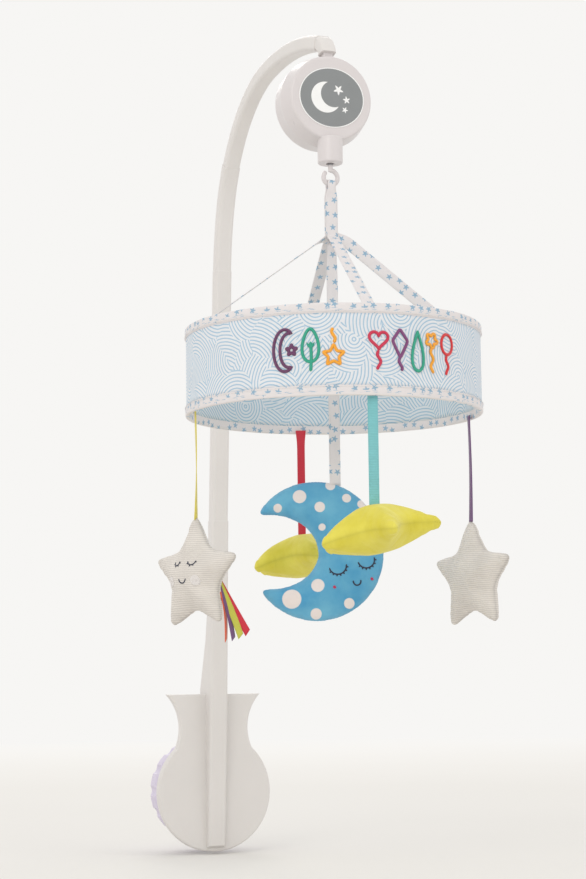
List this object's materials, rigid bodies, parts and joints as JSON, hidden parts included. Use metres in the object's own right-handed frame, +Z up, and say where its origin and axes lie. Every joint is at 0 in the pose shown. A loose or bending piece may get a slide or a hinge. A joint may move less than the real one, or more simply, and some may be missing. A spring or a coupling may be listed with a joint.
{
  "type": "crib mobile",
  "caption": "Musical crib mobile: a rail clamp, post and curved arm carry a wind-up music box that turns a fabric ring canopy with a plush moon and stars.",
  "frame": {"origin": "where the clamp stud's axis leaves the back of the clamp pad, on the face that presses on the cot", "axes": "+Z up along the post, +Y out of the cot through the rail, -Y over the cot, +X to the right seen from inside the cot"},
  "size_m": [0.2679, 0.5425, 0.7078],
  "materials": {
    "white_plastic": "satin moulded plastic",
    "box_plastic": "satin moulded plastic",
    "label_film": "printed film",
    "pad_rubber": "soft",
    "knob_plastic": "satin",
    "steel": "plain",
    "brass": "plain",
    "gear_plastic": "plain",
    "band_fabric": "printed cotton",
    "star_print": "printed cotton tape",
    "hoop_plastic": "plain",
    "grey_rib": "ribbed jersey",
    "yellow_plush": "velour",
    "blue_plush": "minky plush",
    "yellow_ribbon": "satin ribbon",
    "purple_ribbon": "satin ribbon",
    "red_ribbon": "satin ribbon",
    "teal_ribbon": "grosgrain ribbon",
    "tassel_ribbon": "satin ribbon"
  },
  "bodies": {
    "frame": {"clamp_plate": "white_plastic", "clamp_pad": "pad_rubber", "clamp_stud": "steel", "post_middle": "white_plastic", "post_upper": "white_plastic", "arm_top": "white_plastic", "arm_tip": "white_plastic", "box_front_shell": "box_plastic", "box_rear_shell": "box_plastic", "shell_screws": "steel", "box_label": "label_film", "output_collar": "box_plastic", "movement_plate": "steel", "tone_comb": "steel"},
    "clamp_washer": {"clamp_washer": "white_plastic"},
    "clamp_knob": {"clamp_knob": "knob_plastic"},
    "winder": {"winding_arbor": "steel", "wind_key": "box_plastic"},
    "spring_barrel": {"spring_barrel": "brass", "mainspring": "steel"},
    "music_drum": {"music_drum": "brass"},
    "governor": {"governor": "brass"},
    "output": {"output_shaft": "steel", "snap_hook": "box_plastic"},
    "canopy": {"hanger_strap": "star_print", "canopy_ribbon_left": "star_print", "canopy_ribbon_front": "star_print", "canopy_ribbon_right": "star_print", "canopy_ribbon_back": "star_print", "canopy_band": "band_fabric", "canopy_hoop": "hoop_plastic", "canopy_lining": "band_fabric", "top_binding": "star_print", "bottom_binding": "star_print"},
    "star_left_ribbon": {"star_left_ribbon": "yellow_ribbon"},
    "star_left": {"star_left": "grey_rib", "star_tassel": "tassel_ribbon"},
    "star_right_ribbon": {"star_right_ribbon": "purple_ribbon"},
    "star_right": {"star_right": "grey_rib"},
    "yellow_front_ribbon": {"yellow_front_ribbon": "teal_ribbon"},
    "yellow_star_front": {"yellow_star_front": "yellow_plush"},
    "yellow_back_ribbon": {"yellow_back_ribbon": "red_ribbon"},
    "yellow_star_back": {"yellow_star_back": "yellow_plush"},
    "moon_ribbon": {"moon_ribbon": "star_print"},
    "moon": {"moon": "blue_plush"}
  },
  "joints": [
    {"name": "clamp_slide", "type": "slide", "parent": "frame", "child": "clamp_washer", "axis": [0, 1, 0], "range_m": [-0.012, 0.018]},
    {"name": "knob_turn", "type": "hinge", "parent": "clamp_washer", "child": "clamp_knob", "pos_m": [0, 0.04, 0], "axis": [0, 1, 0], "range_deg": [-1440, 2160]},
    {"name": "key_wind", "type": "hinge", "parent": "frame", "child": "winder", "pos_m": [0, -0.29, 0.577], "axis": [0, 1, 0], "range_deg": [0, 1800]},
    {"name": "canopy_spin", "type": "hinge", "parent": "frame", "child": "output", "pos_m": [0, -0.323, 0.54], "axis": [0, 0, 1], "continuous": true},
    {"name": "barrel_turn", "type": "hinge", "parent": "frame", "child": "spring_barrel", "pos_m": [0, -0.315, 0.577], "axis": [0, 1, 0], "continuous": true},
    {"name": "drum_turn", "type": "hinge", "parent": "frame", "child": "music_drum", "pos_m": [-0.01471, -0.31, 0.59171], "axis": [0, 1, 0], "continuous": true},
    {"name": "governor_turn", "type": "hinge", "parent": "frame", "child": "governor", "pos_m": [0.01358, -0.31, 0.59058], "axis": [0, 1, 0], "continuous": true},
    {"name": "canopy_swing", "type": "hinge", "parent": "output", "child": "canopy", "pos_m": [0, -0.323, 0.5049], "axis": [1, 0, 0], "range_deg": [-12, 12]},
    {"name": "star_left_swing", "type": "hinge", "parent": "canopy", "child": "star_left_ribbon", "pos_m": [-0.11315, -0.30911, 0.3155], "axis": [0.1219, 0.9925, 0], "range_deg": [-4, 22]},
    {"name": "star_left_twist", "type": "hinge", "parent": "star_left_ribbon", "child": "star_left", "pos_m": [-0.11315, -0.30911, 0.24], "axis": [0, 0, 1], "range_deg": [-25, 25]},
    {"name": "star_right_swing", "type": "hinge", "parent": "canopy", "child": "star_right_ribbon", "pos_m": [0.11315, -0.33689, 0.3155], "axis": [-0.1219, -0.9925, 0], "range_deg": [-4, 22]},
    {"name": "star_right_twist", "type": "hinge", "parent": "star_right_ribbon", "child": "star_right", "pos_m": [0.11315, -0.33689, 0.24], "axis": [0, 0, 1], "range_deg": [-25, 25]},
    {"name": "yellow_front_swing", "type": "hinge", "parent": "canopy", "child": "yellow_front_ribbon", "pos_m": [-0.01389, -0.43615, 0.3155], "axis": [-0.9925, 0.1219, 0], "range_deg": [-4, 22]},
    {"name": "yellow_front_twist", "type": "hinge", "parent": "yellow_front_ribbon", "child": "yellow_star_front", "pos_m": [-0.01389, -0.43615, 0.24], "axis": [0, 0, 1], "range_deg": [-25, 25]},
    {"name": "yellow_back_swing", "type": "hinge", "parent": "canopy", "child": "yellow_back_ribbon", "pos_m": [0.01389, -0.20985, 0.3155], "axis": [0.9925, -0.1219, 0], "range_deg": [-4, 22]},
    {"name": "yellow_back_twist", "type": "hinge", "parent": "yellow_back_ribbon", "child": "yellow_star_back", "pos_m": [0.01389, -0.20985, 0.24], "axis": [0, 0, 1], "range_deg": [-25, 25]},
    {"name": "moon_swing", "type": "hinge", "parent": "canopy", "child": "moon_ribbon", "pos_m": [0, -0.323, 0.4565], "axis": [0.9361, -0.3518, 0], "range_deg": [-4, 4]},
    {"name": "moon_twist", "type": "hinge", "parent": "moon_ribbon", "child": "moon", "pos_m": [0, -0.323, 0.262], "axis": [0, 0, 1], "range_deg": [-30, 30]}
  ],
  "couplings": [
    {"joint": "knob_turn", "follows": "clamp_slide", "rad_per_m": 2094.4},
    {"joint": "barrel_turn", "follows": "canopy_spin", "ratio": 0.20833},
    {"joint": "drum_turn", "follows": "canopy_spin", "ratio": -0.69444},
    {"joint": "governor_turn", "follows": "canopy_spin", "ratio": -1.0417}
  ]
}
